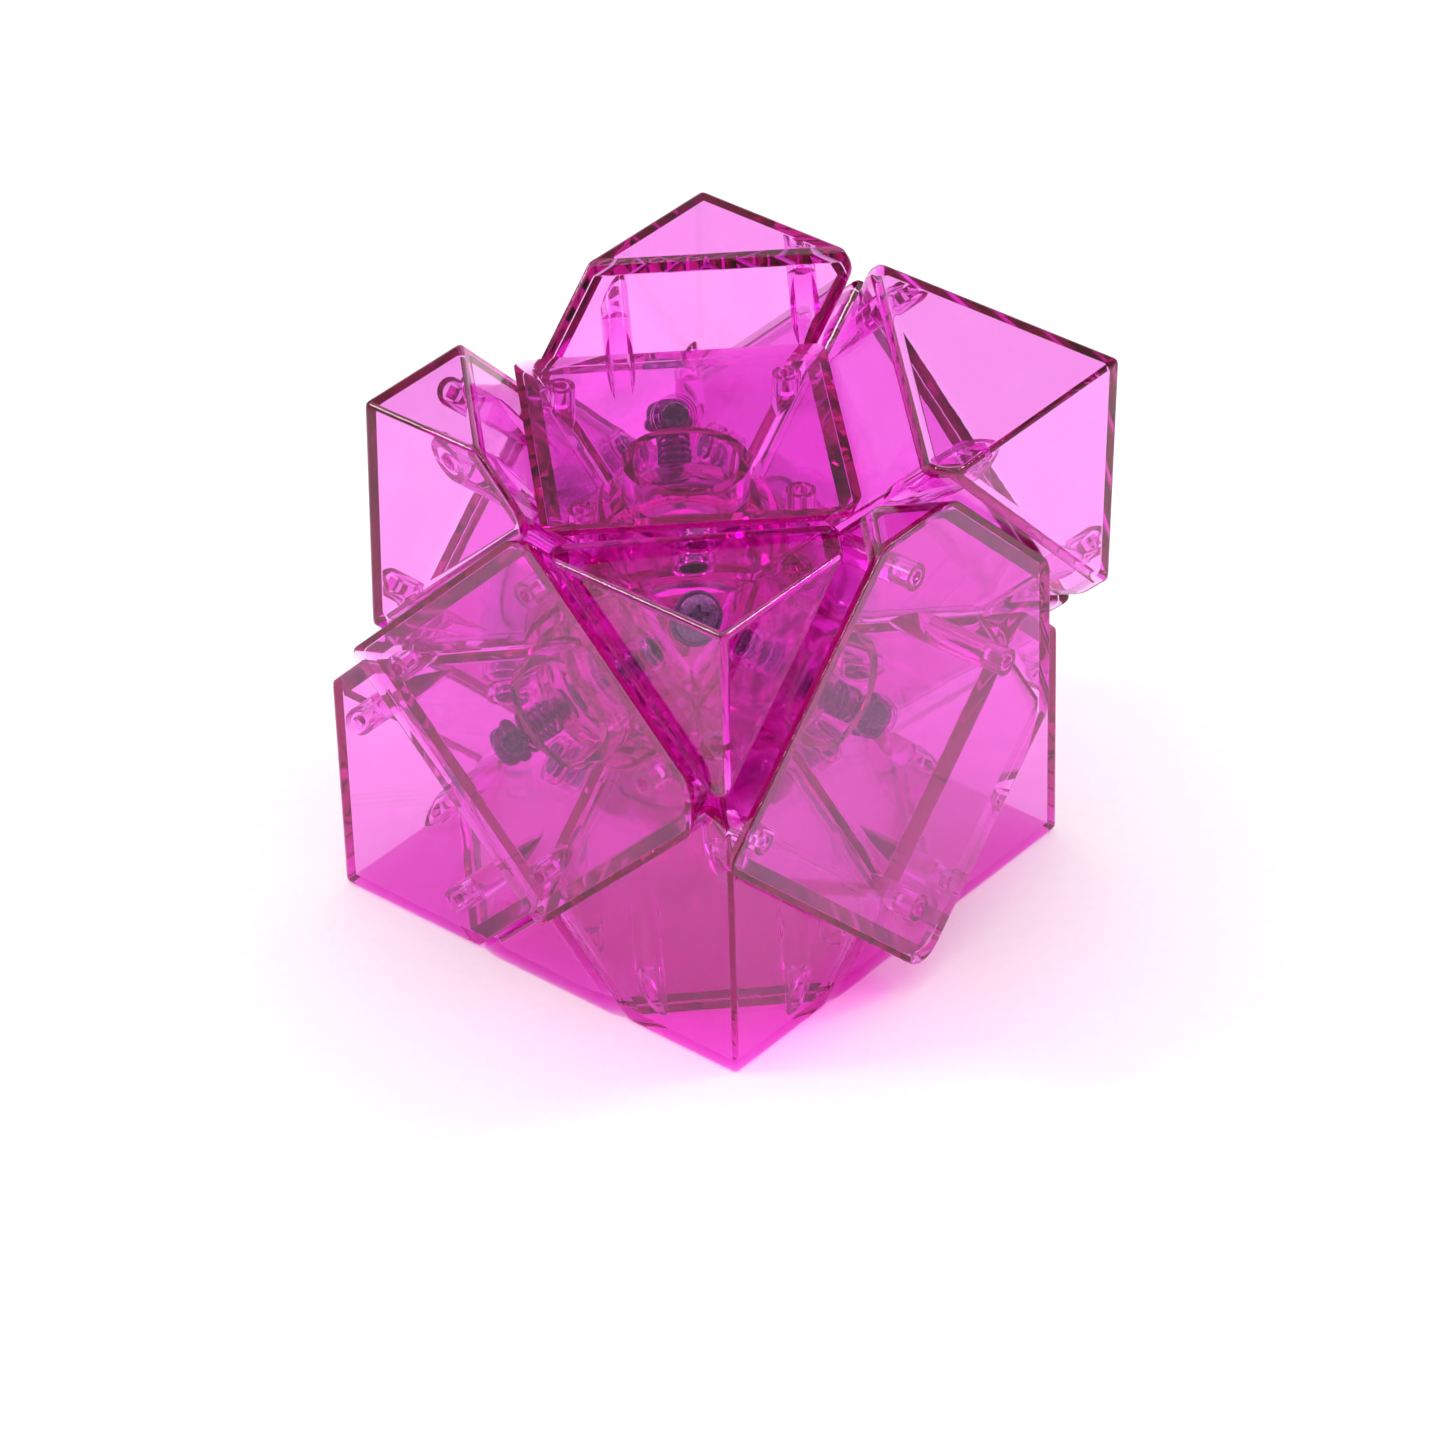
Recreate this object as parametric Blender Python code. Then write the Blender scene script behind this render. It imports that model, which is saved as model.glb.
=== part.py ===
"""Off-centre four-axis twisty puzzle cube (a "mirror" or "bump" skewb), in clear moulded plastic.

Solved, the puzzle is a plain cube.  Its core sits off centre, and four cut planes pass through the
core at right angles to the cube's body diagonals.  They part the cube into eight corner pieces and
six face centres, all of different sizes.  Each piece is drawn at home, in the solved cube, about the
core, and then carried to its present place by the half turns in TURNS_MADE.

Lengths are millimetres in the code and become metres when a mesh is finished.
"""

import math

import bmesh
import bpy
from mathutils import Matrix, Vector

# ---------------------------------------------------------------- driving dimensions (mm, degrees)
CUBE_EDGE = 57.0                  # edge of the solved cube
CORE_OFFSET = (4.1, 2.3, 6.0)     # core centre from the cube's centre
CUT_GAP = 0.3                     # running gap between neighbouring pieces
WALL = 1.2                        # moulded wall of the bases
CAP_THICKNESS = 1.3               # moulded wall of the caps
SEAM = 0.3                        # gap between a cap and its base
FIT = 0.3                         # clearance between parts that touch or slide

CAVITY_RADIUS = 11.5              # hollow around the core ball
STEP_RADIUS = 15.5                # feet run under their neighbours below this radius
STEP_GAP = 0.5                    # running gap at the step
FOOT_REACH = 1.5                  # how far a foot reaches past the cut plane
FLOOR = 1.6                       # floor of a base, above the step

CORE_RADIUS = 8.0                 # core ball
ARM_RADIUS = 2.1                  # its four arms
ARM_END = 15.0                    # from the core's centre to an arm's end
SCREW_RADIUS = 1.0
SCREW_DEPTH = 7.7                 # length of screw that an arm hides
SCREW_HEAD_RADIUS = 2.3
SCREW_HEAD_HEIGHT = 1.7
WASHER_RADIUS = 2.6
WASHER_THICKNESS = 0.6
SPRING_RADIUS = 2.4
SPRING_WIRE = 0.45
SPRING_LENGTH = 4.3
CORNER_TRAVEL = 0.5               # how far a sprung corner lifts off the core

PIN_INSET_CENTRE = 7.0            # from a face's tip to its pin
PIN_INSET_CORNER = 6.0
PIN_RADIUS = 0.7
PIN_LENGTH = 2.5                  # pin below the cap's inner face
PIN_ROOT = 0.5                    # pin inside the cap's wall
POST_RADIUS = 1.6                 # bored post on the base
HUB_RADIUS = 6.9                  # round hub on the floor of a face centre
HUB_HEIGHT = 3.0

MAGNET_RADIUS = 1.5
MAGNET_THICKNESS = 1.0
MAGNET_FROM_CORE = 22.0           # along the middle of a cut face
MAGNET_CUP_WALL = 0.6
SKIN = 0.05                       # least step between two faces of one moulding

PART_TURN = 2.0                   # how far the upper half stands past its stop, degrees

# ---------------------------------------------------------------- the puzzle's layout
CUT_AXES = {                      # outward diagonals of the four corners screwed to the core
    "fixed_corner_1": Vector((1, 1, 1)),
    "fixed_corner_2": Vector((1, -1, -1)),
    "fixed_corner_3": Vector((-1, 1, -1)),
    "fixed_corner_4": Vector((-1, -1, 1)),
}
FLOATING = {
    "floating_corner_1": Vector((1, 1, -1)),
    "floating_corner_2": Vector((1, -1, 1)),
    "floating_corner_3": Vector((-1, 1, 1)),
    "floating_corner_4": Vector((-1, -1, -1)),
}
CENTRES = {
    "centre_1": Vector((1, 0, 0)),
    "centre_2": Vector((-1, 0, 0)),
    "centre_3": Vector((0, 1, 0)),
    "centre_4": Vector((0, -1, 0)),
    "centre_5": Vector((0, 0, 1)),
    "centre_6": Vector((0, 0, -1)),
}
PIECES = {**CUT_AXES, **FLOATING, **CENTRES}
TURNING_AXIS = "fixed_corner_4"   # the half that the hinge turns

# Half turns made since the cube was solved: the corner at the half's middle, and +1 or -1 for a
# third of a turn by the right-hand rule about that corner's outward axis.
TURNS_MADE = (
    ("fixed_corner_1", -1), ("fixed_corner_4", 1), ("fixed_corner_3", 1),
    ("fixed_corner_4", -1), ("fixed_corner_3", -1), ("fixed_corner_2", 1),
    ("fixed_corner_1", 1), ("fixed_corner_2", -1), ("fixed_corner_4", -1),
)

MM = 0.001                        # one millimetre, in metres
SOLID_TO = 4 * CUBE_EDGE          # safely past everything
MERGE = 0.0005                    # points this close are one
ROD_SIDES = 8                     # pins, posts and bores
DISC_SIDES = 12                   # magnets, screws, washers and springs


# ---------------------------------------------------------------- small helpers
def face_distances():
    """Distance from the core to each face of the solved cube, keyed by axis and side."""
    half = CUBE_EDGE / 2
    return {(axis, side): half - side * CORE_OFFSET[axis] for axis in range(3) for side in (1, -1)}


FACE = face_distances()
REST_HEIGHT = FACE[(2, -1)]       # the core above the face that the puzzle rests on


def material(name, rgb, alpha, roughness, metallic):
    """A Principled material for one kind of part."""
    mat = bpy.data.materials.new(name)
    mat.use_nodes = True
    shader = mat.node_tree.nodes["Principled BSDF"]
    shader.inputs["Base Color"].default_value = (*rgb, 1)
    shader.inputs["Alpha"].default_value = alpha
    shader.inputs["Roughness"].default_value = roughness
    shader.inputs["Metallic"].default_value = metallic
    return mat


def mesh_object(name, bm):
    """Turn a bmesh into an object and free it."""
    bmesh.ops.recalc_face_normals(bm, faces=bm.faces)
    mesh = bpy.data.meshes.new(name)
    bm.to_mesh(mesh)
    bm.free()
    obj = bpy.data.objects.new(name, mesh)
    bpy.context.scene.collection.objects.link(obj)
    return obj


def boolean(target, cutter, operation):
    """Apply one exact Boolean and remove its cutter."""
    step = target.modifiers.new("step", "BOOLEAN")
    step.operation = operation
    step.solver = "EXACT"
    step.object = cutter
    graph = bpy.context.evaluated_depsgraph_get()
    result = bpy.data.meshes.new_from_object(target.evaluated_get(graph))
    target.modifiers.clear()
    tidy = bmesh.new()
    tidy.from_mesh(result)
    bmesh.ops.remove_doubles(tidy, verts=tidy.verts, dist=MERGE)
    bmesh.ops.dissolve_degenerate(tidy, edges=tidy.edges, dist=MERGE)
    tidy.to_mesh(result)
    tidy.free()
    target.data = result
    bpy.data.objects.remove(cutter)
    return target


def convex(name, planes):
    """The solid on the inner side of every plane, each given as (outward normal, distance)."""
    bm = bmesh.new()
    bmesh.ops.create_cube(bm, size=SOLID_TO)
    for normal, distance in planes:
        unit = normal.normalized()
        cut = bmesh.ops.bisect_plane(
            bm, geom=bm.verts[:] + bm.edges[:] + bm.faces[:], dist=1e-6,
            plane_co=unit * distance, plane_no=unit, clear_outer=True)
        rim = [item for item in cut["geom_cut"] if isinstance(item, bmesh.types.BMEdge)]
        if rim:
            bmesh.ops.contextual_create(bm, geom=rim)
    bmesh.ops.remove_doubles(bm, verts=bm.verts, dist=1e-4)
    return mesh_object(name, bm)


def ball(name, radius, subdivisions=3):
    """A faceted ball about the core's centre."""
    bm = bmesh.new()
    bmesh.ops.create_icosphere(bm, subdivisions=subdivisions, radius=radius)
    return mesh_object(name, bm)


def rods(name, specs, sides):
    """Round rods, each (point, direction, start, end, radius), as one object of separate solids."""
    bm = bmesh.new()
    for point, direction, start, end, radius in specs:
        unit = direction.normalized()
        turn = unit.to_track_quat("Z", "Y").to_matrix().to_4x4()
        middle = Matrix.Translation(point + unit * (start + end) / 2)
        bmesh.ops.create_cone(bm, cap_ends=True, segments=sides, radius1=radius, radius2=radius,
                              depth=end - start, matrix=middle @ turn)
    return mesh_object(name, bm)


def turned(name, profile, direction, sides):
    """A closed ring or plug: (radius, height) points turned about a line through the core."""
    bm = bmesh.new()
    turn = direction.normalized().to_track_quat("Z", "Y").to_matrix()
    rings = []
    for step in range(sides):
        angle = 2 * math.pi * step / sides
        around = Vector((math.cos(angle), math.sin(angle), 0))
        rings.append([bm.verts.new(turn @ (around * radius + Vector((0, 0, height))))
                      for radius, height in profile])
    for here, there in zip(rings, rings[1:] + rings[:1]):
        for low, high in zip(range(len(profile)), [*range(1, len(profile)), 0]):
            bm.faces.new((here[low], there[low], there[high], here[high]))
    bmesh.ops.remove_doubles(bm, verts=bm.verts, dist=1e-4)
    return mesh_object(name, bm)


# ---------------------------------------------------------------- planes that bound a piece
def is_corner(home):
    return abs(home.x) + abs(home.y) + abs(home.z) > 2


def cut_sides(home):
    """Each cut that bounds a piece: its unit axis, and +1 where the piece is on the outer side."""
    sides = []
    for axis in CUT_AXES.values():
        along = axis.dot(home)
        if abs(along) < 2.5:
            sides.append((axis.normalized(), 1 if along > 0 else -1))
    return sides


def face_planes(home, inset):
    """The solved cube's faces that bound a piece, moved in by inset."""
    planes = []
    for (axis, side), distance in FACE.items():
        normal = Vector([side if i == axis else 0 for i in range(3)])
        planes.append((normal, distance - inset))
    return planes


def outer_planes(home, inset):
    """Cut planes above the step, moved into the piece by inset."""
    return [(-side * axis, -inset) for axis, side in cut_sides(home)]


def foot_planes(home):
    """Cut planes below the step, where every outer side is larger by the foot's reach."""
    return [(-side * axis, side * FOOT_REACH - CUT_GAP / 2) for axis, side in cut_sides(home)]


def neck_planes(home):
    """The narrower of the two regions, which joins a foot to its base through the step."""
    inset = CUT_GAP / 2 + SKIN
    return [(-side * axis, -inset if side > 0 else -FOOT_REACH - inset)
            for axis, side in cut_sides(home)]


def sharp_points(home):
    """Corner points of a piece's outer solid."""
    obj = convex("hull", face_planes(home, 0) + outer_planes(home, CUT_GAP / 2))
    points = [vertex.co.copy() for vertex in obj.data.vertices]
    bpy.data.objects.remove(obj)
    return points


def face_height(home):
    """Distance of a face centre's own face from the core."""
    return min(distance for (axis, side), distance in FACE.items() if home[axis] * side > 0.5)


def pin_points(home):
    """Where the pins stand, as points in the plane through the core square to the piece's axis."""
    unit = home.normalized()
    spots = []
    if is_corner(home):
        tips = [point for point in sharp_points(home)
                if sum(abs(point[a] - s * d) < 1e-3 for (a, s), d in FACE.items()) == 2]
        for tip in tips:
            flat = tip - unit * tip.dot(unit)
            spots.append(flat * (1 - PIN_INSET_CORNER / flat.length))
        return spots
    for other in CENTRES.values():
        if abs(other.dot(home)) < 0.5:
            reach = min(face_height(home), face_height(other))
            spots.append(other * (reach - PIN_INSET_CENTRE))
    return spots


def height_over(home, spot, inset):
    """Height, along the piece's axis over spot, of its outer faces moved in by inset."""
    unit = home.normalized()
    heights = []
    for normal, distance in face_planes(home, inset):
        if normal.dot(unit) > 0.1:
            heights.append((distance - normal.dot(spot)) / normal.dot(unit))
    return min(heights)


def magnet_seats(home):
    """Middle of each magnet's outer disc, and the direction from there into the piece."""
    seats = []
    fixed = home in CUT_AXES.values()
    if is_corner(home) and not fixed:
        return seats
    for other in (CENTRES if fixed else CUT_AXES).values():
        if other.dot(home) < 0.5:
            continue
        centre, corner = (other, home) if fixed else (home, other)
        along = (centre + corner).normalized()
        across = next(axis.normalized() * side for axis, side in cut_sides(home)
                      if abs(axis.dot(along)) < 1e-6)
        seats.append((along * MAGNET_FROM_CORE + across * (CUT_GAP / 2 + WALL + FIT), across))
    return seats


# ---------------------------------------------------------------- the moulded pieces
def make_cap(name, home):
    """Outer shell of a piece: its faces, with a pin hanging over each post of the base."""
    unit = home.normalized()
    cap = convex(name, face_planes(home, 0) + outer_planes(home, CUT_GAP / 2))
    boolean(cap, convex("inside", face_planes(home, CAP_THICKNESS)), "DIFFERENCE")
    pins = []
    for spot in pin_points(home):
        low = height_over(home, spot, CAP_THICKNESS)
        pins.append((spot, unit, low - PIN_LENGTH, low + PIN_ROOT, PIN_RADIUS))
    return boolean(cap, rods("pins", pins, ROD_SIDES), "UNION")


def make_base(name, home):
    """Inner shell of a piece: its cut faces, floor and bored posts, and its foot if it has one."""
    unit = home.normalized()
    rim = CAP_THICKNESS + SEAM
    over_step = STEP_RADIUS + STEP_GAP / 2
    fixed = home in CUT_AXES.values()
    base = convex(name, face_planes(home, rim) + outer_planes(home, CUT_GAP / 2))
    boolean(base, ball("step", over_step), "DIFFERENCE")
    if not fixed:
        boolean(base, make_foot(home, over_step), "UNION")
    hollow = convex("hollow", face_planes(home, 0) + outer_planes(home, CUT_GAP / 2 + WALL))
    boolean(hollow, ball("floor", over_step + FLOOR), "DIFFERENCE")
    spots = pin_points(home)
    posts = [(spot, unit, 0, SOLID_TO / 4, POST_RADIUS) for spot in spots]
    boolean(hollow, rods("posts", posts, ROD_SIDES), "DIFFERENCE")
    seats = magnet_seats(home)
    if seats:
        cup = MAGNET_RADIUS + FIT + MAGNET_CUP_WALL
        cups = [(seat, across, -FIT - WALL / 2, MAGNET_THICKNESS, cup) for seat, across in seats]
        boolean(hollow, rods("cups", cups, DISC_SIDES), "DIFFERENCE")
    if not is_corner(home):
        top = over_step + FLOOR + HUB_HEIGHT
        hub = [(HUB_RADIUS, 0), (HUB_RADIUS, top), (HUB_RADIUS - WALL, top), (HUB_RADIUS - WALL, 0)]
        boolean(hollow, turned("hub", hub, unit, 2 * ROD_SIDES), "DIFFERENCE")
    boolean(base, hollow, "DIFFERENCE")
    if seats:
        pockets = [(seat, across, SKIN - FIT, 2 * MAGNET_THICKNESS, MAGNET_RADIUS + FIT)
                   for seat, across in seats]
        boolean(base, rods("pockets", pockets, DISC_SIDES), "DIFFERENCE")
    if fixed:
        hole = [(Vector(), unit, 0, over_step + 3 * FLOOR, SCREW_RADIUS + FIT)]
        boolean(base, rods("hole", hole, DISC_SIDES), "DIFFERENCE")
    bores = []
    for spot in spots:
        low = height_over(home, spot, CAP_THICKNESS)
        bores.append((spot, unit, low - PIN_LENGTH - FIT, low + PIN_LENGTH, PIN_RADIUS + FIT))
    return boolean(base, rods("bores", bores, ROD_SIDES), "DIFFERENCE")


def make_foot(home, over_step):
    """Foot that runs under the neighbours, with the neck that carries it."""
    foot = convex("foot", foot_planes(home))
    boolean(foot, ball("under_step", STEP_RADIUS - STEP_GAP / 2), "INTERSECT")
    neck = convex("neck", neck_planes(home) + [(home.normalized(), over_step)])
    boolean(foot, neck, "UNION")
    return boolean(foot, ball("cavity", CAVITY_RADIUS, 2), "DIFFERENCE")


def make_magnet(name, seat, across):
    """One disc magnet, in its cup behind a cut face."""
    return rods(name, [(seat, across, 0, MAGNET_THICKNESS, MAGNET_RADIUS)], DISC_SIDES)


# ---------------------------------------------------------------- the core and its screws
def make_core():
    """Ball with four bored arms."""
    core = ball("core", CORE_RADIUS, 2)
    axes = list(CUT_AXES.values())
    for axis in axes:
        arm = rods("arm", [(Vector(), axis, CORE_RADIUS / 2, ARM_END, ARM_RADIUS)], DISC_SIDES)
        boolean(core, arm, "UNION")
    bore = [(Vector(), axis, ARM_END - SCREW_DEPTH - FIT, SOLID_TO / 4, SCREW_RADIUS + FIT)
            for axis in axes]
    return boolean(core, rods("bore", bore, DISC_SIDES), "DIFFERENCE")


def spring_foot():
    """Height of a spring's lower end: just clear of the base's floor."""
    return STEP_RADIUS + STEP_GAP / 2 + FLOOR + FIT


def washer_foot():
    return spring_foot() + SPRING_LENGTH + CORNER_TRAVEL + FIT


def head_foot():
    return washer_foot() + WASHER_THICKNESS + FIT


def make_screw(name, axis):
    """Pan-head screw, from inside its arm to above the washer."""
    low, foot = ARM_END - SCREW_DEPTH, head_foot()
    top = foot + SCREW_HEAD_HEIGHT
    return turned(name, [(0, low), (SCREW_RADIUS, low), (SCREW_RADIUS, foot),
                         (SCREW_HEAD_RADIUS, foot), (SCREW_HEAD_RADIUS, top), (0, top)], axis,
                  DISC_SIDES)


def make_washer(name, axis):
    """Flat washer between a screw's head and its spring."""
    low, high = washer_foot(), washer_foot() + WASHER_THICKNESS
    bore = SCREW_RADIUS + FIT
    return turned(name, [(bore, low), (WASHER_RADIUS, low), (WASHER_RADIUS, high),
                         (bore, high)], axis, DISC_SIDES)


def make_spring(name, axis):
    """Outer shape of a compression spring, as a plain sleeve."""
    low, high = spring_foot(), spring_foot() + SPRING_LENGTH
    bore = SPRING_RADIUS - 2 * SPRING_WIRE
    return turned(name, [(bore, low), (SPRING_RADIUS, low), (SPRING_RADIUS, high),
                         (bore, high)], axis, DISC_SIDES)


# ---------------------------------------------------------------- placing
def turn_matrix(axis, angle):
    return Matrix.Rotation(angle, 3, axis.normalized())


def present_rotations():
    """Rotation of each piece, from home to its present place, after TURNS_MADE."""
    rotations = {name: Matrix.Identity(3) for name in PIECES}
    for corner, sense in TURNS_MADE:
        axis = CUT_AXES[corner]
        turn = turn_matrix(axis, sense * 2 * math.pi / 3)
        for name, home in PIECES.items():
            if (rotations[name] @ home).dot(axis) > 0.5:
                rotations[name] = turn @ rotations[name]
    return rotations


def empty(name, parent=None):
    obj = bpy.data.objects.new(name, None)
    bpy.context.scene.collection.objects.link(obj)
    obj.parent = parent
    return obj


def finish(obj, mat, parent, rotation):
    """Scale to metres, shade, and place about the core."""
    obj.data.transform(Matrix.Scale(MM, 4))
    obj.data.materials.clear()
    obj.data.materials.append(mat)
    obj.data.shade_smooth()
    obj.data.set_sharp_from_angle(angle=math.radians(30))
    obj.parent = parent
    obj.rotation_euler = rotation.to_euler()


def build():
    for old in list(bpy.data.objects):
        bpy.data.objects.remove(old)
    clear = material("clear_magenta_plastic", (0.75, 0.06, 0.62), 0.45, 0.08, 0.0)
    dark = material("dark_magnet_plate", (0.35, 0.34, 0.36), 1.0, 0.3, 1.0)
    steel = material("zinc_plated_steel", (0.72, 0.73, 0.75), 1.0, 0.28, 1.0)

    middle = empty("core_centre")
    middle.location = (0, 0, REST_HEIGHT * MM)
    half = empty("turning_half", middle)
    axis = CUT_AXES[TURNING_AXIS]
    half.rotation_euler = turn_matrix(axis, math.radians(PART_TURN)).to_euler()

    still = Matrix.Identity(3)
    finish(make_core(), clear, middle, still)
    for number, corner in enumerate(CUT_AXES, 1):
        parent = half if corner == TURNING_AXIS else middle
        outward = CUT_AXES[corner]
        finish(make_screw(f"core_screw_{number}", outward), steel, middle, still)
        finish(make_washer(f"screw_washer_{number}", outward), steel, middle, still)
        finish(make_spring(f"tension_spring_{number}", outward), steel, parent, still)

    for name, rotation in present_rotations().items():
        home = PIECES[name]
        parent = half if (rotation @ home).dot(axis) > 0.5 else middle
        finish(make_cap(f"{name}_cap", home), clear, parent, rotation)
        finish(make_base(f"{name}_base", home), clear, parent, rotation)
        if name in CUT_AXES:
            for letter, (seat, across) in zip("abc", magnet_seats(home)):
                magnet = make_magnet(f"{name}_magnet_{letter}", seat, across)
                finish(magnet, dark, parent, rotation)


build()
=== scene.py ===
"""Looks of the off-centre four-axis twisty puzzle: clear magenta shells, screws, springs and magnets.

Every piece is modelled at home, in the solved cube, with the core's centre at the origin, and is
then turned and carried to its place in the frame.  Lengths are metres.
"""

import math

import bmesh
import bpy
from mathutils import Matrix, Vector


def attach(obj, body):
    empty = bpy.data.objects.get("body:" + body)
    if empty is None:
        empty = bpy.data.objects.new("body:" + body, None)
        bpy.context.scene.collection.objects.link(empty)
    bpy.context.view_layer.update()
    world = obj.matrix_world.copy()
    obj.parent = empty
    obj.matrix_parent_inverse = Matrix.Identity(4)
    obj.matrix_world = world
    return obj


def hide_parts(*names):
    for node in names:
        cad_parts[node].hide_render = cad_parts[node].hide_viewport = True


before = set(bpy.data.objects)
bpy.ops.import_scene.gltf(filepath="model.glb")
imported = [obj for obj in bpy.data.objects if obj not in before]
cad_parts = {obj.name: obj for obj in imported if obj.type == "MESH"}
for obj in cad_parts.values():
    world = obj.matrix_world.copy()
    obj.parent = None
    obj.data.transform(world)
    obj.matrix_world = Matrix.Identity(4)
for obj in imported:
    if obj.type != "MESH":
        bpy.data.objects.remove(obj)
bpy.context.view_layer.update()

MM = 0.001

# ---------------------------------------------------------------- sizes, as in the frame
CUBE_EDGE = 57 * MM
CORE_OFFSET = Vector((4.1, 2.3, 6.0)) * MM    # core centre from the cube's centre
CORE_HEIGHT = 34.5 * MM                       # core above the face that the puzzle rests on
HALF_GAP = 0.15 * MM                          # from a cut plane to the piece beside it
WALL = 1.2 * MM
CAP_THICKNESS = 1.3 * MM
SEAM = 0.08 * MM                              # welded shut in the finished puzzle, but for a line
FIT = 0.3 * MM
CAVITY_RADIUS = 11.5 * MM
UNDER_STEP = 15.25 * MM                       # feet end here
OVER_STEP = 15.75 * MM                        # floors begin here
FOOT_REACH = 1.5 * MM
FLOOR = 1.6 * MM
CORE_RADIUS = 8 * MM
ARM_RADIUS = 2.1 * MM
ARM_END = 15 * MM
ARM_CHAMFER = 0.3 * MM
ARM_ROOT_RADIUS = ARM_RADIUS + 1.2 * MM
ARM_ROOT_END = 9.6 * MM                       # the cone of a root has run out here
SCREW_RADIUS = 1 * MM
SCREW_START = 7.3 * MM
SCREW_BORE_START = 7.0 * MM
SCREW_TIP_RADIUS = 0.5 * MM
THREAD_PITCH = 0.7 * MM
THREAD_ROOT = 0.78 * MM                       # radius at the bottom of the thread
HEAD_RADIUS = 2.3 * MM
HEAD_HEIGHT = 1.7 * MM
HEAD_RIM = 0.35 * MM                          # scale of the head's rounding
RECESS_WING = 0.55 * MM                       # width of one bar of the cross
RECESS_REACH = 2.7 * MM
RECESS_DEPTH = 1.0 * MM
RECESS_TAPER = 0.55                           # floor of the recess against its mouth
WASHER_RADIUS = 2.6 * MM
WASHER_THICKNESS = 0.6 * MM
WASHER_ROUND = 0.18 * MM
SPRING_RADIUS = 2.4 * MM
SPRING_LENGTH = 4.3 * MM
SPRING_WIRE = 0.5 * MM
SPRING_TURNS = 5
CORNER_TRAVEL = 0.5 * MM
PIN_INSET_CENTRE = 7 * MM
PIN_INSET_CORNER = 6 * MM
PIN_RADIUS = 0.7 * MM
PIN_LENGTH = 2.5 * MM
PIN_ROOT = 0.5 * MM
POST_RADIUS = 1.6 * MM
HUB_RADIUS = 6.9 * MM
HUB_HEIGHT = 3 * MM
MAGNET_RADIUS = 1.5 * MM
MAGNET_THICKNESS = 1 * MM
MAGNET_ROUND = 0.2 * MM
MAGNET_FROM_CORE = 22 * MM
CUP_WALL = 0.6 * MM
SKIN = 0.05 * MM                              # least step between two faces of one moulding
PART_TURN = math.radians(2)                   # how far the upper half is past its stop

# ---------------------------------------------------------------- the moulder's roundings
RIM_ROUND = 1.1 * MM             # across the rounded rim of an outer face
UPRIGHT_ROUND = 2.0 * MM         # across the rounded edge between two cut walls
INNER_ROUND = 0.4 * MM           # the same edges inside a wall
TIP_TRIM = 10 * MM               # a wedge is squared off here, inside the floor's ball
ROUND_SIDES = 28                 # posts, pins and bores
BALL_CUTS = 5                    # subdivisions of the balls that cut floors and feet
FAR = 60 * MM                    # past every face
CLOSE = 0.002 * MM               # points this close are one
SHARP = math.radians(32)
LIGHT_BOUNCES = 40

# ---------------------------------------------------------------- layout
FIXED = {
    "fixed_corner_1": Vector((1, 1, 1)),
    "fixed_corner_2": Vector((1, -1, -1)),
    "fixed_corner_3": Vector((-1, 1, -1)),
    "fixed_corner_4": Vector((-1, -1, 1)),
}
FLOATING = {
    "floating_corner_1": Vector((1, 1, -1)),
    "floating_corner_2": Vector((1, -1, 1)),
    "floating_corner_3": Vector((-1, 1, 1)),
    "floating_corner_4": Vector((-1, -1, -1)),
}
CENTRES = {
    "centre_1": Vector((1, 0, 0)),
    "centre_2": Vector((-1, 0, 0)),
    "centre_3": Vector((0, 1, 0)),
    "centre_4": Vector((0, -1, 0)),
    "centre_5": Vector((0, 0, 1)),
    "centre_6": Vector((0, 0, -1)),
}
PIECES = {**FIXED, **FLOATING, **CENTRES}
TURNING_AXIS = FIXED["fixed_corner_4"]
TURNS_MADE = (
    ("fixed_corner_1", -1), ("fixed_corner_4", 1), ("fixed_corner_3", 1),
    ("fixed_corner_4", -1), ("fixed_corner_3", -1), ("fixed_corner_2", 1),
    ("fixed_corner_1", 1), ("fixed_corner_2", -1), ("fixed_corner_4", -1),
)


# ---------------------------------------------------------------- the bench: one tool each
def start(primitive, **size):
    """Add one primitive with nothing else selected, and settle it at its place."""
    bpy.ops.object.select_all(action="DESELECT")
    primitive(**size)
    settle(bpy.context.active_object)
    return bpy.context.active_object


def settle(piece):
    """Put the object's place, turn and scale into its mesh."""
    only(piece)
    bpy.ops.object.transform_apply(location=True, rotation=True, scale=True)


def only(piece):
    """Select one object and nothing else."""
    bpy.ops.object.select_all(action="DESELECT")
    piece.select_set(True)
    bpy.context.view_layer.objects.active = piece


def pick(piece, kind, wanted):
    """Open a piece for editing with only the wanted faces or edges selected."""
    only(piece)
    bpy.ops.object.mode_set(mode="EDIT")
    bpy.ops.mesh.select_mode(type=kind)
    bpy.ops.mesh.select_all(action="DESELECT")
    mesh = bmesh.from_edit_mesh(piece.data)
    found = 0
    for item in mesh.faces if kind == "FACE" else mesh.edges:
        if wanted(item):
            item.select_set(True)
            found += 1
    bmesh.update_edit_mesh(piece.data)
    return found


def close_up():
    """Leave edit mode."""
    bpy.ops.object.mode_set(mode="OBJECT")


def slice_off(piece, outward, distance):
    """Cut away all that lies past a plane, and close the cut."""
    unit = outward.normalized()
    pick(piece, "FACE", lambda face: True)
    bpy.ops.mesh.bisect(plane_co=unit * distance, plane_no=unit, use_fill=True,
                        clear_outer=True, threshold=CLOSE / 10)
    close_up()


def combine(piece, tool, operation):
    """Cut a tool out of a piece, or weld it on, with an applied Boolean."""
    step = piece.modifiers.new("step", "BOOLEAN")
    step.operation = operation
    step.solver = "MANIFOLD"
    step.object = tool
    only(piece)
    bpy.ops.object.modifier_apply(modifier=step.name)
    bpy.data.objects.remove(tool)
    return piece


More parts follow.
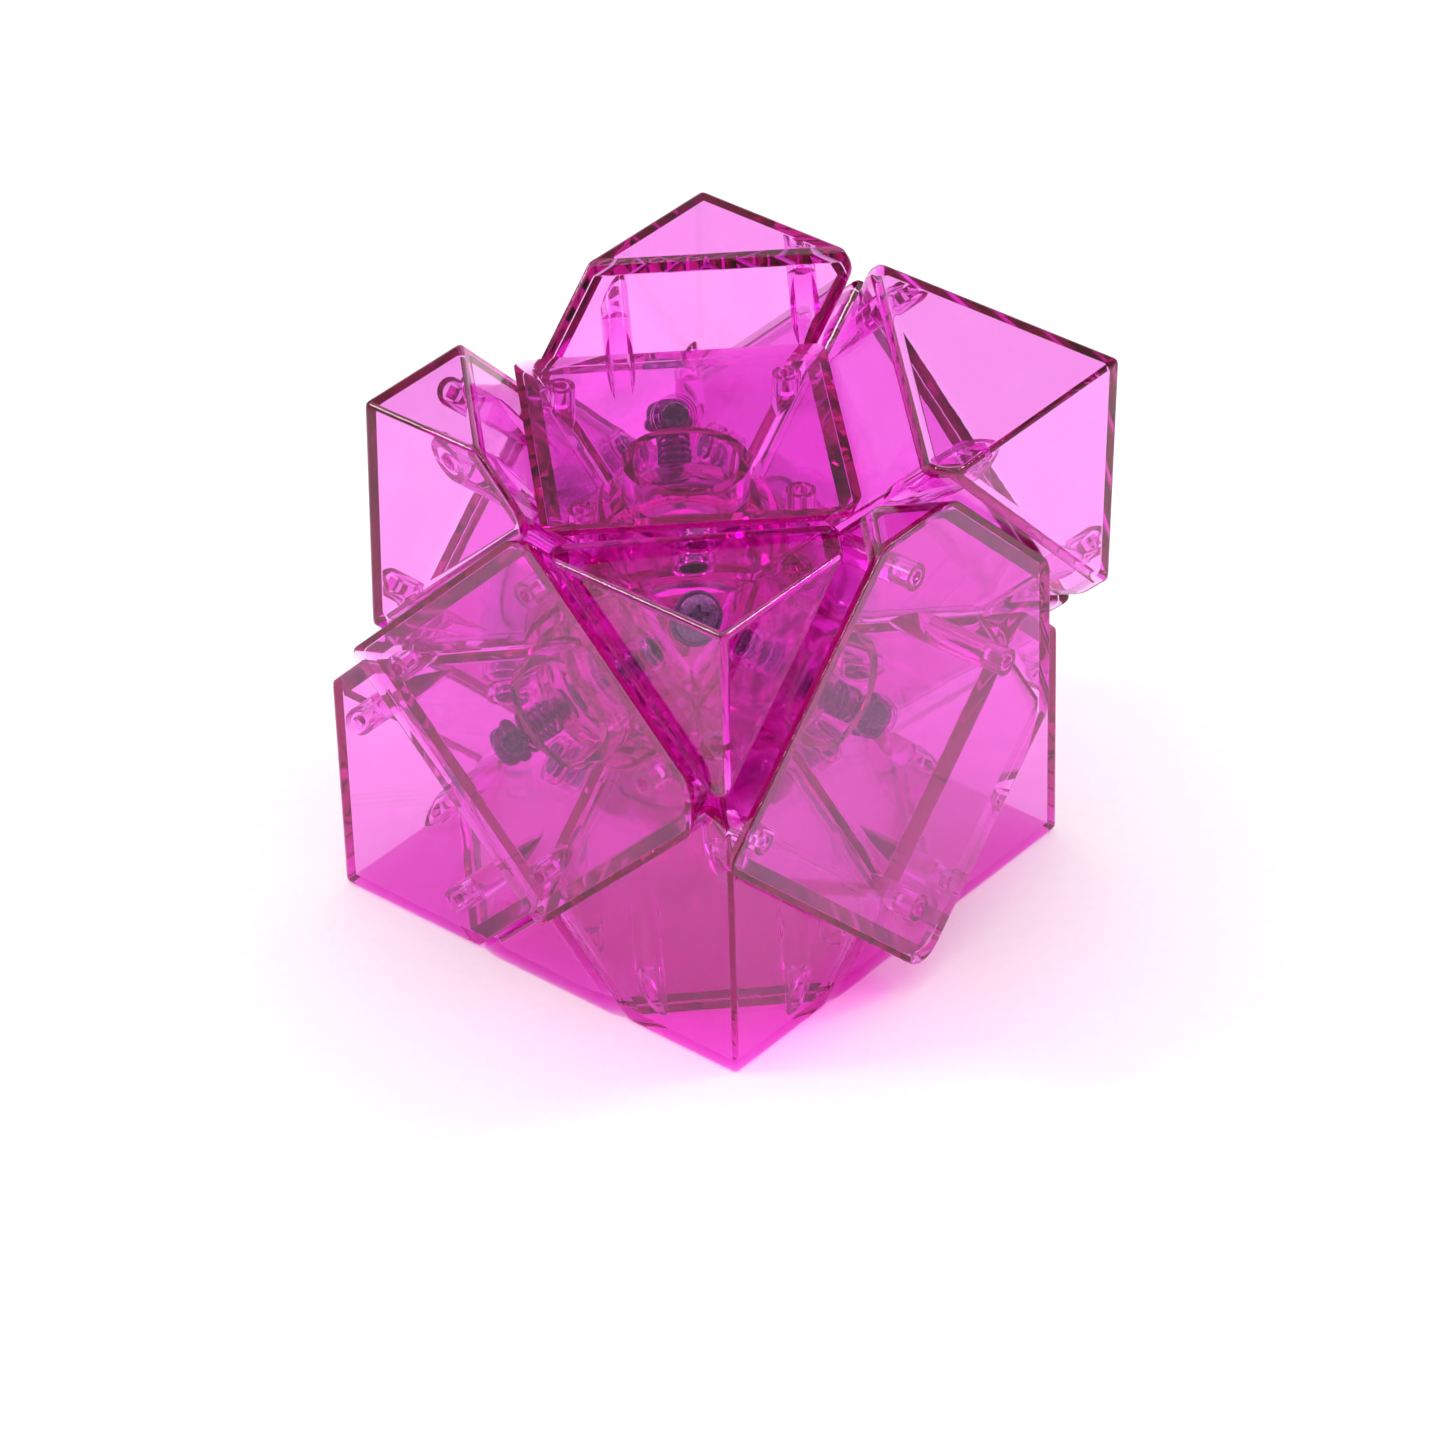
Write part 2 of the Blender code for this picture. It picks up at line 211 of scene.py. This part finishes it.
def joined(parts):
    """Join separate solids into one object."""
    bpy.ops.object.select_all(action="DESELECT")
    for part in parts:
        part.select_set(True)
    bpy.context.view_layer.objects.active = parts[0]
    if len(parts) > 1:
        bpy.ops.object.join()
    return parts[0]


def block(edge):
    """A block about the cube's centre."""
    return start(bpy.ops.mesh.primitive_cube_add, size=edge, location=-CORE_OFFSET)


def ball(radius):
    """A ball about the core."""
    return start(bpy.ops.mesh.primitive_ico_sphere_add, subdivisions=BALL_CUTS, radius=radius)


def rod(point, direction, low, high, radius, sides=ROUND_SIDES):
    """A round rod from low to high along a line through a point."""
    unit = direction.normalized()
    return start(bpy.ops.mesh.primitive_cylinder_add, vertices=sides, radius=radius,
                 depth=high - low, location=point + unit * (low + high) / 2,
                 rotation=unit.to_track_quat("Z", "Y").to_euler())


def tube(direction, low, high, outer, inner, sides=2 * ROUND_SIDES):
    """A round tube about a line through the core."""
    wall = rod(Vector(), direction, low, high, outer, sides)
    return combine(wall, rod(Vector(), direction, low - FIT, high + FIT, inner, sides),
                   "DIFFERENCE")


def round_edges(piece, wanted, width, segments):
    """Round the wanted edges, width across."""
    if pick(piece, "EDGE", wanted):
        bpy.ops.mesh.bevel(offset_type="WIDTH", offset=width, segments=segments,
                           profile=0.5, affect="EDGES", clamp_overlap=True)
        bpy.ops.mesh.select_all(action="SELECT")
        bpy.ops.mesh.remove_doubles(threshold=CLOSE)
    close_up()


# ---------------------------------------------------------------- where a piece ends
def is_corner(home):
    """Corners stand on a diagonal, centres on an axis."""
    return home.length_squared > 2


def cut_sides(home):
    """Each cut that bounds a piece: its unit axis, and +1 where the piece is on the outer side."""
    sides = []
    for axis in FIXED.values():
        along = axis.dot(home)
        if abs(along) < 2.5:
            sides.append((axis.normalized(), 1 if along > 0 else -1))
    return sides


def face_distance(axis, side):
    """From the core to a face of the solved cube."""
    return CUBE_EDGE / 2 - side * CORE_OFFSET[axis]


def own_faces(home):
    """The cube's faces that a piece carries, as (outward normal, distance)."""
    faces = []
    for axis in range(3):
        if abs(home[axis]) > 0.5:
            side = 1 if home[axis] > 0 else -1
            faces.append((Vector([side if i == axis else 0 for i in range(3)]),
                          face_distance(axis, side)))
    return faces


def pin_spots(home):
    """Where the pins stand, as points in the plane through the core square to the piece's axis."""
    unit = home.normalized()
    reach = [distance for _, distance in own_faces(home)]
    spots = []
    if is_corner(home):
        for free in range(3):
            here, there = [reach[i] for i in range(3) if i != free]
            tip = Vector([home[i] * reach[i] for i in range(3)])
            tip[free] = home[free] * (abs(here - there) + math.sqrt(3) * HALF_GAP)
            flat = tip - unit * tip.dot(unit)
            spots.append(flat * (1 - PIN_INSET_CORNER / flat.length))
        return spots
    for other in CENTRES.values():
        if abs(other.dot(home)) < 0.5:
            nearer = min(reach[0], own_faces(other)[0][1])
            spots.append(other * (nearer - PIN_INSET_CENTRE))
    return spots


def height_over(home, spot, inset):
    """Height over a spot, along the piece's axis, of its faces moved in by inset."""
    unit = home.normalized()
    return min((distance - inset - normal.dot(spot)) / normal.dot(unit)
               for normal, distance in own_faces(home))


def magnet_seats(home):
    """Middle of each magnet's outer disc, and the direction from there into the piece."""
    fixed = home in FIXED.values()
    if is_corner(home) and not fixed:
        return []
    seats = []
    for other in (CENTRES if fixed else FIXED).values():
        if other.dot(home) < 0.5:
            continue
        along = (other + home).normalized()
        across = next(axis * side for axis, side in cut_sides(home) if abs(axis.dot(along)) < 1e-6)
        seats.append((along * MAGNET_FROM_CORE + across * (HALF_GAP + WALL + FIT), across))
    return seats


# ---------------------------------------------------------------- moulded shells
def wedge(home, face_in, cut_in, upright, rim):
    """A piece's share of the cube, moved in from its faces and cuts, with its edges rounded."""
    solid = block(CUBE_EDGE - 2 * face_in)
    for axis, side in cut_sides(home):
        slice_off(solid, -side * axis, -cut_in)
    slice_off(solid, -home, -TIP_TRIM)
    faces = [normal for normal, _ in own_faces(home)]
    unit = home.normalized()

    def outer(face):
        return any(face.normal.dot(normal) > 0.999 for normal in faces)

    def trimmed(face):
        return face.normal.dot(unit) < -0.999

    def is_upright(edge):
        return not any(outer(face) or trimmed(face) for face in edge.link_faces)

    def is_rim(edge):
        return any(outer(face) for face in edge.link_faces)

    if upright:
        round_edges(solid, is_upright, upright, 5)
    if rim:
        round_edges(solid, is_rim, rim, 4)
    return solid


def make_cap(home):
    """Outer shell of a piece: its faces, with a pin hanging over each post of the base."""
    cap = wedge(home, 0, HALF_GAP, UPRIGHT_ROUND, RIM_ROUND)
    combine(cap, block(CUBE_EDGE - 2 * CAP_THICKNESS), "DIFFERENCE")
    pins = []
    for spot in pin_spots(home):
        low = height_over(home, spot, CAP_THICKNESS)
        pins.append(rod(spot, home, low - PIN_LENGTH, low + PIN_ROOT, PIN_RADIUS))
    return combine(cap, joined(pins), "UNION")


def make_foot(home):
    """Foot that runs under the neighbours, with the neck that carries it."""
    foot = ball(UNDER_STEP)
    for axis, side in cut_sides(home):
        slice_off(foot, -side * axis, side * FOOT_REACH - HALF_GAP)
    neck = block(2 * FAR)
    for axis, side in cut_sides(home):
        inner = HALF_GAP + SKIN
        slice_off(neck, -side * axis, -inner if side > 0 else -FOOT_REACH - inner)
    slice_off(neck, home, OVER_STEP)
    combine(foot, neck, "UNION")
    return combine(foot, ball(CAVITY_RADIUS), "DIFFERENCE")


def make_base(home):
    """Inner shell of a piece: cut walls, floor, bored posts, magnet cups, hub and foot."""
    fixed = home in FIXED.values()
    base = wedge(home, CAP_THICKNESS + SEAM, HALF_GAP, UPRIGHT_ROUND, 0)
    combine(base, ball(OVER_STEP), "DIFFERENCE")
    if not fixed:
        combine(base, make_foot(home), "UNION")
    hollow = wedge(home, 0, HALF_GAP + WALL, INNER_ROUND, 0)
    combine(hollow, ball(OVER_STEP + FLOOR), "DIFFERENCE")
    spots = pin_spots(home)
    posts = [rod(spot, home, 0, FAR, POST_RADIUS) for spot in spots]
    combine(hollow, joined(posts), "DIFFERENCE")
    seats = magnet_seats(home)
    if seats:
        cup = MAGNET_RADIUS + FIT + CUP_WALL
        combine(hollow, joined([rod(seat, across, -FIT - WALL / 2, MAGNET_THICKNESS, cup)
                                for seat, across in seats]), "DIFFERENCE")
    if not is_corner(home):
        top = OVER_STEP + FLOOR + HUB_HEIGHT
        combine(hollow, tube(home, 0, top, HUB_RADIUS, HUB_RADIUS - WALL), "DIFFERENCE")
    combine(base, hollow, "DIFFERENCE")
    if seats:
        pocket = MAGNET_RADIUS + FIT
        combine(base, joined([rod(seat, across, SKIN - FIT, 2 * MAGNET_THICKNESS, pocket)
                              for seat, across in seats]), "DIFFERENCE")
    if fixed:
        hole = rod(Vector(), home, 0, OVER_STEP + 3 * FLOOR, SCREW_RADIUS + FIT)
        combine(base, hole, "DIFFERENCE")
    bores = []
    for spot in spots:
        low = height_over(home, spot, CAP_THICKNESS)
        bores.append(rod(spot, home, low - PIN_LENGTH - FIT, low + PIN_LENGTH, PIN_RADIUS + FIT))
    return combine(base, joined(bores), "DIFFERENCE")


# ---------------------------------------------------------------- core, screws, springs, magnets
def spring_foot():
    """Height along an arm at which the spring stands on its corner's floor."""
    return OVER_STEP + FLOOR + FIT


def washer_foot():
    """Height of the washer's inner face."""
    return spring_foot() + SPRING_LENGTH + CORNER_TRAVEL + FIT


def head_foot():
    """Height of the underside of the screw head."""
    return washer_foot() + WASHER_THICKNESS + FIT


def turned_up(steps, sides):
    """A round solid built up from a disc: each step is (radius, height), from low to high."""
    radius, height = steps[0]
    piece = start(bpy.ops.mesh.primitive_circle_add, vertices=sides, radius=radius,
                  fill_type="NGON", location=(0, 0, height))
    pick(piece, "FACE", lambda face: True)
    for wider, higher in steps[1:]:
        bpy.ops.mesh.extrude_region_move(
            TRANSFORM_OT_translate={"value": (0, 0, higher - height)})
        bpy.ops.transform.resize(value=(wider / radius, wider / radius, 1),
                                 center_override=(0, 0, higher))
        radius, height = wider, higher
    bpy.ops.mesh.select_all(action="SELECT")
    bpy.ops.mesh.normals_make_consistent(inside=False)
    close_up()
    return piece


def along(piece, direction):
    """Turn a piece made along Z to a direction."""
    piece.rotation_euler = direction.normalized().to_track_quat("Z", "Y").to_euler()
    settle(piece)
    return piece


def make_core():
    """Ball with four bored arms, each on a coned root."""
    core = start(bpy.ops.mesh.primitive_uv_sphere_add, segments=64, ring_count=32,
                 radius=CORE_RADIUS)
    for axis in FIXED.values():
        arm = turned_up([(ARM_ROOT_RADIUS, CORE_RADIUS / 2), (ARM_ROOT_RADIUS, CORE_RADIUS),
                         (ARM_RADIUS, ARM_ROOT_END), (ARM_RADIUS, ARM_END - ARM_CHAMFER),
                         (ARM_RADIUS - ARM_CHAMFER, ARM_END)], 40)
        combine(core, along(arm, axis), "UNION")
    bores = [rod(Vector(), axis, SCREW_BORE_START, FAR, SCREW_RADIUS + FIT)
             for axis in FIXED.values()]
    return combine(core, joined(bores), "DIFFERENCE")


def make_screw():
    """Pan-head screw with a cross recess, its thread drawn as plain rings, along Z."""
    pitch, root, foot, rim = THREAD_PITCH, THREAD_ROOT, head_foot(), HEAD_RIM
    steps = [(SCREW_TIP_RADIUS, SCREW_START), (root, SCREW_START + pitch / 2)]
    height = SCREW_START + pitch / 2
    while height + pitch < foot - pitch:
        steps += [(SCREW_RADIUS, height + 0.5 * pitch), (root, height + pitch)]
        height += pitch
    steps += [(root, foot), (HEAD_RADIUS - rim / 2, foot), (HEAD_RADIUS, foot + rim),
              (HEAD_RADIUS, foot + HEAD_HEIGHT - 2.5 * rim),
              (HEAD_RADIUS - 0.6 * rim, foot + HEAD_HEIGHT - rim),
              (HEAD_RADIUS - 2 * rim, foot + HEAD_HEIGHT - 0.25 * rim),
              (HEAD_RADIUS / 3, foot + HEAD_HEIGHT)]
    screw = turned_up(steps, 36)
    for size in ((RECESS_WING, RECESS_REACH), (RECESS_REACH, RECESS_WING)):
        slot = start(bpy.ops.mesh.primitive_cube_add, size=1, scale=(*size, 2 * RECESS_DEPTH),
                     location=(0, 0, foot + HEAD_HEIGHT))
        pick(slot, "FACE", lambda face: face.normal.z < -0.9)
        bpy.ops.transform.resize(value=(RECESS_TAPER, RECESS_TAPER, 1),
                                 center_override=(0, 0, foot + HEAD_HEIGHT - RECESS_DEPTH))
        close_up()
        combine(screw, slot, "DIFFERENCE")
    return screw


def make_washer():
    """Flat washer with its stamped edges rounded, along Z."""
    low, high = washer_foot(), washer_foot() + WASHER_THICKNESS
    washer = rod(Vector(), Vector((0, 0, 1)), low, high, WASHER_RADIUS, 48)
    bore = rod(Vector(), Vector((0, 0, 1)), low - FIT, high + FIT, SCREW_RADIUS + FIT, 48)
    combine(washer, bore, "DIFFERENCE")
    round_edges(washer, lambda edge: abs(edge.verts[0].co.z - edge.verts[1].co.z) < CLOSE
                and edge.calc_face_angle(0) > 1, WASHER_ROUND, 3)
    return washer


def make_spring():
    """Compression spring of round wire, cut square at both ends, along Z."""
    low = spring_foot()
    wire = SPRING_WIRE / 2
    rise = SPRING_LENGTH - SPRING_WIRE
    coil = start(bpy.ops.mesh.primitive_circle_add, vertices=14, radius=wire, fill_type="NOTHING",
                 location=(SPRING_RADIUS - wire, 0, low + wire), rotation=(math.pi / 2, 0, 0))
    step = coil.modifiers.new("wind", "SCREW")
    step.axis = "Z"
    step.angle = 2 * math.pi
    step.screw_offset = rise / SPRING_TURNS
    step.iterations = SPRING_TURNS
    step.steps = step.render_steps = 32
    step.use_merge_vertices = True
    step.merge_threshold = CLOSE
    only(coil)
    bpy.ops.object.modifier_apply(modifier=step.name)
    pick(coil, "EDGE", lambda edge: edge.is_boundary)
    bpy.ops.mesh.edge_face_add()
    bpy.ops.mesh.select_all(action="SELECT")
    bpy.ops.mesh.normals_make_consistent(inside=False)
    close_up()
    return coil


def make_magnet(seat, across):
    """Nickel-plated disc magnet with its edges rounded."""
    disc = rod(seat, across, 0, MAGNET_THICKNESS, MAGNET_RADIUS, 40)
    round_edges(disc, lambda edge: edge.calc_face_angle(0) > 1, MAGNET_ROUND, 3)
    return disc


# ---------------------------------------------------------------- finishes
def hex_colour(text):
    """A linear colour from an sRGB hex value."""
    parts = [int(text[i:i + 2], 16) / 255 for i in (1, 3, 5)]
    return tuple(p / 12.92 if p <= 0.04045 else ((p + 0.055) / 1.055) ** 2.4 for p in parts)


def node(tree, kind, links=None, **settings):
    """Add one node, set its sockets and fields, and link what feeds it."""
    made = tree.nodes.new(kind)
    for name, value in settings.items():
        if name in made.inputs:
            made.inputs[name].default_value = value
        else:
            setattr(made, name, value)
    for name, source in (links or {}).items():
        tree.links.new(source, made.inputs[name])
    return made


def new_finish(name):
    """An empty node material, and its tree."""
    made = bpy.data.materials.new(name)
    made.use_nodes = True
    made.node_tree.nodes.clear()
    return made, made.node_tree


def ramp(tree, factor, stops):
    """A colour ramp over a factor; stops are (place, linear colour)."""
    made = node(tree, "ShaderNodeValToRGB", {"Fac": factor})
    for i, (place, colour) in enumerate(stops):
        stop = made.color_ramp.elements[i] if i < 2 else made.color_ramp.elements.new(place)
        stop.position = place
        stop.color = (*colour, 1)
    return made.outputs["Color"]


DYE_PER_METRE = Vector((26, 360, 52))     # what the dye takes from red, green and blue light
DYE_DENSITY = 370
PLASTIC_IOR = 1.46
SHADOW_TINT = (0.93, 0.6, 0.9)        # what one face lets through of a lamp's light


def clear_magenta(name, roughness):
    """Clear plastic, injection moulded and tinted magenta through the whole wall.

    One wall is a pale orchid, several in line go to a deep magenta, and rims seen along the wall are
    darkest.  The faces are polished, with faint flow waves about 6 mm long and a fine haze.
    """
    made, tree = new_finish(name)
    place = node(tree, "ShaderNodeTexCoord").outputs["Object"]
    flow = node(tree, "ShaderNodeTexNoise", {"Vector": place}, Scale=160.0, Detail=2.0,
                Roughness=0.45)
    haze = node(tree, "ShaderNodeTexNoise", {"Vector": place}, Scale=900.0, Detail=3.0)
    rough = node(tree, "ShaderNodeMapRange", {"Value": haze.outputs["Fac"]},
                 **{"To Min": roughness * 0.6, "To Max": roughness * 1.5})
    wave = node(tree, "ShaderNodeBump", {"Height": flow.outputs["Fac"]}, Strength=0.05,
                Distance=0.4 * MM)
    tint = ramp(tree, flow.outputs["Fac"], [(0.3, hex_colour("#FFF4FE")),
                                            (0.7, hex_colour("#FFFAFF"))])
    plastic = node(tree, "ShaderNodeBsdfPrincipled",
                   {"Base Color": tint, "Roughness": rough.outputs["Result"],
                    "Normal": wave.outputs["Normal"]},
                   **{"Transmission Weight": 1.0, "IOR": PLASTIC_IOR})
    passed = node(tree, "ShaderNodeBsdfTransparent", Color=(*SHADOW_TINT, 1))
    is_shadow = node(tree, "ShaderNodeLightPath").outputs["Is Shadow Ray"]
    either = node(tree, "ShaderNodeMixShader", {"Fac": is_shadow})
    tree.links.new(plastic.outputs["BSDF"], either.inputs[1])
    tree.links.new(passed.outputs["BSDF"], either.inputs[2])
    dye = node(tree, "ShaderNodeVolumeAbsorption", Density=float(DYE_DENSITY),
               Color=(*(1 - taken / DYE_DENSITY for taken in DYE_PER_METRE), 1))
    node(tree, "ShaderNodeOutputMaterial", {"Surface": either.outputs["Shader"],
                                            "Volume": dye.outputs["Volume"]})
    return made


def metal(name, light, dark, roughness, grain):
    """A bright metal with grain mm-sized patches of slightly different polish."""
    made, tree = new_finish(name)
    place = node(tree, "ShaderNodeTexCoord").outputs["Object"]
    patch = node(tree, "ShaderNodeTexNoise", {"Vector": place}, Scale=1 / grain, Detail=4.0)
    colour = ramp(tree, patch.outputs["Fac"], [(0.35, hex_colour(dark)), (0.7, hex_colour(light))])
    rough = node(tree, "ShaderNodeMapRange", {"Value": patch.outputs["Fac"]},
                 **{"To Min": roughness * 0.7, "To Max": roughness * 1.4})
    wave = node(tree, "ShaderNodeBump", {"Height": patch.outputs["Fac"]}, Strength=0.1,
                Distance=0.05 * MM)
    shader = node(tree, "ShaderNodeBsdfPrincipled",
                  {"Base Color": colour, "Roughness": rough.outputs["Result"],
                   "Normal": wave.outputs["Normal"]}, Metallic=1.0)
    node(tree, "ShaderNodeOutputMaterial", {"Surface": shader.outputs["BSDF"]})
    return made


cap_plastic = clear_magenta("clear_magenta_abs_cap", 0.02)
base_plastic = clear_magenta("clear_magenta_abs_base", 0.04)
core_plastic = clear_magenta("clear_magenta_nylon_core", 0.12)
# Nickel plating on a neodymium disc: a slightly brown, satin grey.
nickel = metal("nickel_plated_magnet", "#8F8A88", "#5E5A5C", 0.25, 0.6 * MM)
# Zinc plating on a rolled steel screw: mid grey, with a fine frosted grain.
zinc = metal("zinc_plated_steel", "#8E8A90", "#5F5B63", 0.35, 0.3 * MM)
# Hard-drawn spring wire: mid grey and brighter along the drawing lines.
spring_wire = metal("drawn_spring_wire", "#8A868C", "#57545B", 0.3, 0.2 * MM)


# ---------------------------------------------------------------- putting pieces in place
def present_rotations():
    """Rotation of each piece from home to its present place."""
    rotations = {name: Matrix.Identity(3) for name in PIECES}
    for corner, sense in TURNS_MADE:
        axis = FIXED[corner]
        turn = Matrix.Rotation(sense * 2 * math.pi / 3, 3, axis.normalized())
        for name, home in PIECES.items():
            if (rotations[name] @ home).dot(axis) > 0.5:
                rotations[name] = turn @ rotations[name]
    return rotations


ROTATIONS = present_rotations()
CORE_PLACE = Matrix.Translation((0, 0, CORE_HEIGHT))
HALF_TURN = Matrix.Rotation(PART_TURN, 4, TURNING_AXIS.normalized())


def is_upper(name):
    """Whether a piece now turns with the upper half."""
    return (ROTATIONS[name] @ PIECES[name]).dot(TURNING_AXIS) > 0.5


def body_of(name):
    """Body of the frame that a piece rides on."""
    if name in FIXED:
        return name.replace("fixed", "sprung")
    return "upper_half" if is_upper(name) else "lower_half"


def set_in(piece, name, matrix, finish, body, slot, *nodes):
    """Place, name, shade and hand over one finished piece."""
    piece.name = piece.data.name = name
    piece.matrix_world = CORE_PLACE @ matrix
    settle(piece)
    piece.data.materials.clear()
    piece.data.materials.append(finish)
    bpy.ops.object.shade_smooth_by_angle(angle=SHARP)
    weigh = piece.modifiers.new("weigh", "WEIGHTED_NORMAL")
    weigh.keep_sharp = True
    bpy.ops.object.modifier_apply(modifier=weigh.name)
    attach(piece, body)
    if nodes:
        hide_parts(*nodes)
    return piece


for name, home in PIECES.items():
    turn = (HALF_TURN if is_upper(name) else Matrix()) @ ROTATIONS[name].to_4x4()
    body = body_of(name)
    set_in(make_cap(home), f"{name}_outer_shell", turn, cap_plastic, body, "clear_shell",
           f"{name}_cap")
    set_in(make_base(home), f"{name}_inner_shell", turn, base_plastic, body, "clear_shell",
           f"{name}_base")
    for letter, (seat, across) in zip("abcd", magnet_seats(home)):
        stands_for = [f"{name}_magnet_{letter}"] if name in FIXED else []
        set_in(make_magnet(seat, across), f"{name}_disc_magnet_{letter}", turn, nickel, body,
               "magnet", *stands_for)

set_in(make_core(), "core_spider", Matrix(), core_plastic, "lower_half", "clear_core", "core")
for number, axis in enumerate(FIXED.values(), 1):
    upright = axis.normalized().to_track_quat("Z", "Y").to_matrix().to_4x4()
    set_in(make_screw(), f"cross_head_screw_{number}", upright, zinc, "lower_half", "steel",
           f"core_screw_{number}")
    set_in(make_washer(), f"flat_washer_{number}", upright, zinc, "lower_half", "steel",
           f"screw_washer_{number}")
    set_in(make_spring(), f"coil_spring_{number}", upright, spring_wire,
           f"sprung_corner_{number}", "spring_steel", f"tension_spring_{number}")

# ---------------------------------------------------------------- stage, light and camera
floor = start(bpy.ops.mesh.primitive_plane_add, size=6)
pick(floor, "FACE", lambda face: True)
bpy.ops.mesh.subdivide(number_cuts=4)
close_up()
floor.name = "floor"
paper, tree = new_finish("pale_paper_sweep")
grain = node(tree, "ShaderNodeTexNoise", {"Vector": node(tree, "ShaderNodeTexCoord").outputs["Object"]},
             Scale=700.0)
shade = ramp(tree, grain.outputs["Fac"], [(0.3, hex_colour("#F7F7F7")), (0.7, hex_colour("#FAFAFA"))])
sheet = node(tree, "ShaderNodeBsdfPrincipled", {"Base Color": shade}, Roughness=0.9)
node(tree, "ShaderNodeOutputMaterial", {"Surface": sheet.outputs["BSDF"]})
floor.data.materials.append(paper)

world = bpy.data.worlds.new("soft_white_room")
bpy.context.scene.world = world
world.use_nodes = True
sky = world.node_tree
height = node(sky, "ShaderNodeSeparateXYZ",
              {"Vector": node(sky, "ShaderNodeTexCoord").outputs["Generated"]}).outputs["Z"]
glow = ramp(sky, height, [(0.2, (0.9, 0.9, 0.9)), (0.5, (0.25, 0.25, 0.25))])
sky.links.new(glow, sky.nodes["Background"].inputs["Color"])


def soft_box(name, place, size, power):
    """A square studio light that faces the puzzle."""
    lamp = bpy.data.lights.new(name, "AREA")
    lamp.shape = "SQUARE"
    lamp.size = size
    lamp.energy = power
    holder = bpy.data.objects.new(name, lamp)
    bpy.context.scene.collection.objects.link(holder)
    holder.location = place
    aim = Vector((0, 0, CORE_HEIGHT)) - Vector(place)
    holder.rotation_euler = aim.to_track_quat("-Z", "Y").to_euler()


soft_box("left_soft_box", (0.6, -0.64, 0.85), 0.25, 3.5)
soft_box("right_soft_box", (-0.74, 0.6, 0.85), 0.25, 3.5)
overhead = bpy.data.lights.new("overhead_diffuser", "SUN")
overhead.energy = 2.1
overhead.angle = math.radians(80)
lamp = bpy.data.objects.new("overhead_diffuser", overhead)
bpy.context.scene.collection.objects.link(lamp)

camera = bpy.data.objects.new("camera", bpy.data.cameras.new("camera"))
bpy.context.scene.collection.objects.link(camera)
camera.location = (0.42278, 0.36769, 0.41545)
camera.rotation_euler = [math.radians(angle) for angle in (54.866, 1.432, 129.634)]
camera.data.sensor_width = 36
camera.data.lens = 155.25
camera.data.clip_start, camera.data.clip_end = 0.01, 20
scene = bpy.context.scene
scene.camera = camera
scene.view_settings.view_transform = "Standard"
# A wall's light runs far by total reflection, which counts as glossy, before it leaves.
scene.cycles.max_bounces = LIGHT_BOUNCES
scene.cycles.transmission_bounces = LIGHT_BOUNCES
scene.cycles.glossy_bounces = LIGHT_BOUNCES
scene.cycles.transparent_max_bounces = LIGHT_BOUNCES
